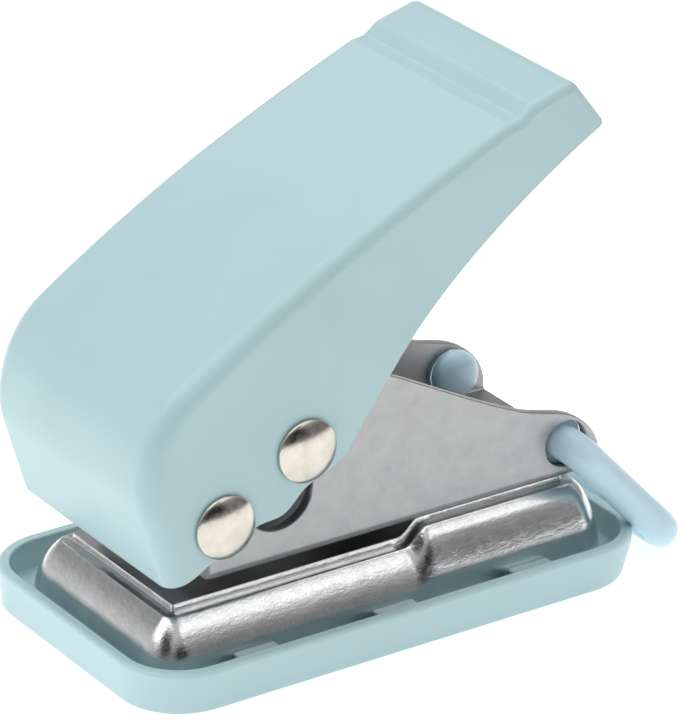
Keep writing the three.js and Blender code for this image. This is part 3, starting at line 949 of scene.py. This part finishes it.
def make_dish():
    stops = side_stops()
    foot_top = DISH_BOTTOM + SHEET
    under_ledge = CREASE - SHEET
    under_table = TABLE - SHEET
    centre_in = ARCH_R * math.sin(FOOT_SLOPE)
    centre_z = CREASE - ARCH_R * math.cos(CREASE_SLOPE)

    def ring(inset, z):
        share = min(max((z - foot_top) / (under_ledge - foot_top), 0), 1)
        return plan_ring(DISH, inset, lambda x: z + share * smooth_step(x), stops)

    def arch(r, slope_from, slope_to, steps):
        """Points of the wall's one arc between two slopes, as (inset, z)."""
        out = []
        for i in range(steps + 1):
            a = slope_from + (slope_to - slope_from) * i / steps
            out.append((centre_in - r * math.sin(a), centre_z + r * math.cos(a)))
        return out

    def slope_at(r, z):
        return math.acos((z - centre_z) / r)

    inner_r = ARCH_R - SHEET
    outer = arch(ARCH_R, slope_at(ARCH_R, DISH_BOTTOM), CREASE_SLOPE, 24)
    inner = arch(
        inner_r, slope_at(inner_r, under_ledge), slope_at(inner_r, DISH_BOTTOM), 8
    )
    crease = outer[-1][0]
    riser = crease + LEDGE
    rings = [ring(riser + 1.15, under_table), ring(riser + 1.0, under_ledge)]
    rings += [ring(inset, z) for inset, z in inner]
    rings += [ring(inset, z) for inset, z in outer[:-1]]
    rings += [ring(crease - 0.05, CREASE - 0.05), ring(crease + 0.1, CREASE)]
    for inset, z in (
        (-0.12, CREASE),
        (-0.04, CREASE + 0.04),
        (0, CREASE + 0.12),
        (0.03, TABLE - 0.11),
        (0.06, TABLE - 0.04),
        (0.1, TABLE - 0.01),
        (0.18, TABLE),
    ):
        rings.append(ring(riser + inset, z))
    dish = stack("base_dish_pressing", rings)
    combine(dish, rod("cut", (PIN_X, 0), DIE_R, 5, 10, "Z", 96), "DIFFERENCE")
    for x in FRAME_RIVETS_X:
        hole = rod("cut", (x, 0), FRAME_RIVET_HOLE_R, 8, 12, "Z")
        combine(dish, hole, "DIFFERENCE")
    place(dish, "base", "base_dish", PLATED)


make_dish()


def make_tray():
    foot = dict(TRAY, rear=TRAY["rear"] - 0.9)
    top = TRAY_HEIGHT
    stops = [float(x) for x in np.linspace(-24, 24, 7)]
    rings = []

    def add(plan, inset, z):
        rings.append(plan_ring(plan, inset, lambda x: z, stops, 14))

    for i in range(5):
        a = math.pi / 2 * i / 4
        add(foot, 0.25 + 0.4 * (1 - math.sin(a)), 0.4 * (1 - math.cos(a)))
    add(TRAY, 0.12, top - 1.6)
    add(TRAY, 0.02, top - 0.7)
    for i in range(6):
        a = math.pi / 2 * i / 5
        add(TRAY, 0.45 * (1 - math.cos(a)), top - 0.45 + 0.45 * math.sin(a))
    for i in range(5):
        a = math.pi / 2 * i / 4
        add(TRAY, TRAY_WALL - 0.25 + 0.25 * math.sin(a), top - 0.25 * (1 - math.cos(a)))
    add(TRAY, TRAY_WALL + 0.05, TRAY_FLOOR + 0.4)
    add(TRAY, TRAY_WALL + 0.17, TRAY_FLOOR + 0.12)
    add(TRAY, TRAY_WALL + 0.5, TRAY_FLOOR)
    tray = stack("chip_tray", rings)
    half = TRAY["half"] - TRAY_WALL
    for x in LUGS_X:
        for side in (-1, 1):
            y = side * (half - 1.55)
            front, rear = x - LUG_LENGTH / 2, x + LUG_LENGTH / 2
            outline = [(front, LUG_LOW), (rear, LUG_LOW)]
            outline += [(rear, LUG_HIGH), (front, LUG_HIGH)]
            lug = prism("lug", outline, y - LUG_REACH / 2, y + LUG_REACH / 2)
            combine(tray, lug, "UNION")
    place(tray, "base", "base_tray", TRAY_AQUA)


make_tray()


# ------------------------------------------------------------------ punching parts


def make_pin():
    clip_low = SPRING_TOP + WASHER_THICK + SPRING_GAP
    clip_high = clip_low + CLIP_THICK + 0.1
    profile = [
        (0, PIN_TIP + 0.9),
        (1.2, PIN_TIP + 0.7),
        (2.2, PIN_TIP + 0.25),
        (2.9, PIN_TIP + 0.02),
        (2.97, PIN_TIP),
        (PIN_R, PIN_TIP + 0.04),
        (PIN_R, clip_low - 0.05),
        (2.2, clip_low - 0.05),
        (2.2, clip_high),
        (PIN_R, clip_high),
        (PIN_R, PIN_TOP - 0.3),
        (PIN_R - 0.09, PIN_TOP - 0.09),
        (PIN_R - 0.3, PIN_TOP),
        (0, PIN_TOP),
    ]
    pin = lathe("punch_pin_ground", profile, (PIN_X, 0), "Z", 96)
    place(pin, "pin", "punch_pin", HARD_STEEL)


def make_spring():
    low = FLOOR_TOP + SPRING_GAP + WIRE_R
    high = SPRING_TOP - SPRING_GAP - WIRE_R
    turns, closed, mean = 5.5, 0.65, 3.75  # closed is the rise of each end turn
    open_rise = (high - low - 2 * closed) / (turns - 2)
    path = []
    steps = 264
    for i in range(steps + 1):
        turn = turns * i / steps
        flat = min(turn, 1) + max(turn - turns + 1, 0)
        steep = min(max(turn - 1, 0), turns - 2)
        a = 2 * math.pi * turn
        z = low + flat * closed + steep * open_rise
        path.append((PIN_X + mean * math.cos(a), mean * math.sin(a), z))
    spring = tube("return_spring_coil", path, WIRE_R, 14)
    place(spring, "base", "return_spring", HARD_STEEL)
    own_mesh(spring)


def make_washer():
    low, high = SPRING_TOP, SPRING_TOP + WASHER_THICK
    edge = 0.1
    profile = [
        (WASHER_HOLE_R, low),
        (WASHER_R - edge, low),
        (WASHER_R, low + edge),
        (WASHER_R, high - edge),
        (WASHER_R - edge, high),
        (WASHER_HOLE_R, high),
    ]
    washer = lathe("spring_washer_disc", profile, (PIN_X, 0), "Z", 72)
    place(washer, "pin", "spring_washer", HARD_STEEL)


def make_clip():
    """An open ring, out along its rim and back along its hole."""
    low = SPRING_TOP + 0.5
    mouth, steps = 0.45, 64  # mouth is half the ring's gap, in radians
    sweep = 2 * math.pi - 2 * mouth
    angles = [mouth + sweep * i / steps for i in range(steps + 1)]
    outline = [(CLIP_R * math.cos(a), CLIP_R * math.sin(a)) for a in angles]
    outline += [
        (CLIP_HOLE_R * math.cos(a), CLIP_HOLE_R * math.sin(a)) for a in reversed(angles)
    ]
    n = len(outline)
    points = [(PIN_X + u, v, z) for z in (low, low + CLIP_THICK) for u, v in outline]
    faces = [tuple(range(n)), tuple(range(n, 2 * n))]
    faces += [(i, (i + 1) % n, n + (i + 1) % n, n + i) for i in range(n)]
    clip = new_object("retaining_clip_ring", points, faces)
    soften(clip, 0.08, 2, 40)
    place(clip, "pin", "retaining_clip", HARD_STEEL)


make_pin()
make_spring()
make_washer()
make_clip()


# ------------------------------------------------------------------ hanging loop


def head_dome(side):
    """The snap head inside an ear: a dome towards the middle of the punch."""
    rise = 1.7
    out = []
    for i in range(11):
        a = math.pi / 2 * i / 10
        y = SNAP_HEAD_TIP + rise * (1 - math.cos(a))
        out.append((SNAP_HEAD_R * math.sin(a), side * y))
    seat = side * SNAP_HEAD_SEAT
    return out + [(SNAP_HEAD_R, seat), (0, seat)]


def make_loop():
    x, z = EAR
    foot_x, foot_y, foot_z = LOOP_FOOT
    near = [
        (x, -LOOP_STUB_END, z),
        (x, -LOOP_LEG_Y, z),
        (foot_x, -foot_y, foot_z),
    ]
    corners = near + [(u, -v, w) for u, v, w in reversed(near)]
    bar = tube("loop_bar", smooth_route(corners, LOOP_BENDS), LOOP_R, 36)
    for side in (-1, 1):
        combine(bar, lathe("head", head_dome(side), EAR, "Y", 64), "UNION")
    soften(bar, 0.12, 2, 50)
    place(bar, "loop", "hanging_loop", PALE_BLUE)


make_loop()


# ------------------------------------------------------------------ floor, light, camera


def make_floor():
    """A plain pale floor just under the tray, seen only from above."""
    size, z = 4000.0, -0.02
    points = [(-size, -size, z), (size, -size, z), (size, size, z), (-size, size, z)]
    floor = new_object("studio_floor", points, [(0, 1, 2, 3)])
    floor.data.transform(Matrix.Scale(MM, 4))
    material, tree, bsdf = shader("floor_white")
    bsdf.inputs["Base Color"].default_value = (0.86, 0.86, 0.86, 1)
    bsdf.inputs["Roughness"].default_value = 0.9
    bsdf.inputs["Specular IOR Level"].default_value = 0.1
    bsdf.inputs["Emission Color"].default_value = (1, 1, 1, 1)
    bsdf.inputs["Emission Strength"].default_value = 0.58
    clear = tree.nodes.new("ShaderNodeBsdfTransparent")
    facing = tree.nodes.new("ShaderNodeNewGeometry")
    mix = tree.nodes.new("ShaderNodeMixShader")
    out = next(node for node in tree.nodes if node.type == "OUTPUT_MATERIAL")
    tree.links.new(facing.outputs["Backfacing"], mix.inputs[0])
    tree.links.new(bsdf.outputs["BSDF"], mix.inputs[1])
    tree.links.new(clear.outputs["BSDF"], mix.inputs[2])
    tree.links.new(mix.outputs["Shader"], out.inputs["Surface"])
    floor.data.materials.append(material)


def softbox(name, at, aim, size, power):
    """A white rectangular light at a place, turned to face another, in metres."""
    light = bpy.data.lights.new(name, "AREA")
    light.shape = "RECTANGLE"
    light.size, light.size_y = size
    light.energy = power
    lamp = bpy.data.objects.new(name, light)
    bpy.context.scene.collection.objects.link(lamp)
    lamp.location = at
    direction = Vector(aim) - Vector(at)
    lamp.rotation_euler = direction.to_track_quat("-Z", "Y").to_euler()


def make_world():
    """A pale room: bright overhead and low behind, dimmer low down on the near side."""
    world = bpy.data.worlds.new("studio")
    bpy.context.scene.world = world
    world.use_nodes = True
    tree = world.node_tree
    tree.nodes.clear()
    out = tree.nodes.new("ShaderNodeOutputWorld")
    sky = tree.nodes.new("ShaderNodeBackground")
    tree.links.new(sky.outputs["Background"], out.inputs["Surface"])
    where = tree.nodes.new("ShaderNodeTexCoord")
    parts = tree.nodes.new("ShaderNodeSeparateXYZ")
    tree.links.new(where.outputs["Generated"], parts.inputs["Vector"])
    height = parts.outputs["Z"]
    near = height_ramp(tree, height, (0, 0.26), (0.3, 0.37), (0.62, 0.95), (0.9, 0.8))
    back = height_ramp(tree, height, (0.1, 1.0), (0.5, 0.40), (0.78, 1.0))
    side = spread(tree, parts.outputs["Y"], 0, 1, -0.25, 0.45)
    room = tree.nodes.new("ShaderNodeMix")
    room.data_type = "RGBA"
    tree.links.new(side, room.inputs["Factor"])
    tree.links.new(near, room.inputs["A"])
    tree.links.new(back, room.inputs["B"])

    # A dark stand low in front of the rivets, and a dark hood over the base's near corner.
    grey = room.outputs["Result"]
    for at, inner, outer in (
        ((-0.05, -0.98, 0.19), 0.30, 0.50),
        ((-0.70, -0.44, 0.56), 0.24, 0.44),
    ):
        grey = dark_round(tree, where, grey, at, inner, outer)
    tree.links.new(grey, sky.inputs["Color"])
    sky.inputs["Strength"].default_value = 0.62


def dark_round(tree, where, behind, at, inner, outer):
    """A soft-edged dark round thing in one direction, in front of the sky."""
    gap = tree.nodes.new("ShaderNodeVectorMath")
    gap.operation = "DISTANCE"
    tree.links.new(where.outputs["Generated"], gap.inputs[0])
    gap.inputs[1].default_value = at
    shade = tree.nodes.new("ShaderNodeMix")
    shade.data_type = "RGBA"
    shade.inputs["A"].default_value = (0, 0, 0, 1)
    tree.links.new(
        spread(tree, gap.outputs["Value"], 0.05, 1, inner, outer), shade.inputs["Factor"]
    )
    tree.links.new(behind, shade.inputs["B"])
    return shade.outputs["Result"]


def height_ramp(tree, height, *stops):
    """Grey levels at given heights of the sky, eased between them."""
    node = tree.nodes.new("ShaderNodeValToRGB")
    ramp = node.color_ramp
    ramp.interpolation = "EASE"
    while len(ramp.elements) < len(stops):
        ramp.elements.new(0.5)
    for element, (at, grey) in zip(ramp.elements, stops):
        element.position = at
        element.color = (grey, grey, grey * 1.01, 1)
    tree.links.new(height, node.inputs["Fac"])
    return node.outputs["Color"]


make_floor()
make_world()
softbox("key_left", (-0.9, 0.25, 0.8), (0, 0, 0.03), (0.8, 0.8), 2.2)
softbox("overhead", (-0.05, 0.14, 1.1), (0, 0, 0.03), (1.5, 1.2), 8.0)
softbox("fill_right", (0.55, -0.8, 0.95), (0, 0, 0.03), (0.8, 0.4), 0.8)
softbox("rim_back", (0.11, 0.82, 0.73), (0, 0, 0.05), (0.16, 0.12), 0.15)


SIDE_SHIFT = 0.7  # millimetres that the view moves to the near side


def make_camera():
    """A view from the front left and a little above, far off with a long lens."""
    azimuth, elevation = math.radians(-33.515), math.radians(24.728)
    distance, across, upward = 600.14, 1.987, 24.856
    focal, height = 5394.3, 721
    back = Vector(
        (
            math.sin(azimuth) * math.cos(elevation),
            -math.cos(azimuth) * math.cos(elevation),
            math.sin(elevation),
        )
    )
    right = Vector((math.cos(azimuth), math.sin(azimuth), 0))
    up = back.cross(right)
    at = (back * distance + right * across + up * upward) * MM
    at.y -= SIDE_SHIFT * MM
    data = bpy.data.cameras.new("camera")
    data.sensor_width = 36
    data.lens = focal / height * 36
    data.clip_start, data.clip_end = 0.01, 20
    camera = bpy.data.objects.new("camera", data)
    bpy.context.scene.collection.objects.link(camera)
    camera.matrix_world = Matrix(
        (
            (right.x, up.x, back.x, at.x),
            (right.y, up.y, back.y, at.y),
            (right.z, up.z, back.z, at.z),
            (0, 0, 0, 1),
        )
    )
    bpy.context.scene.camera = camera


make_camera()
bpy.context.scene.view_settings.view_transform = "Standard"
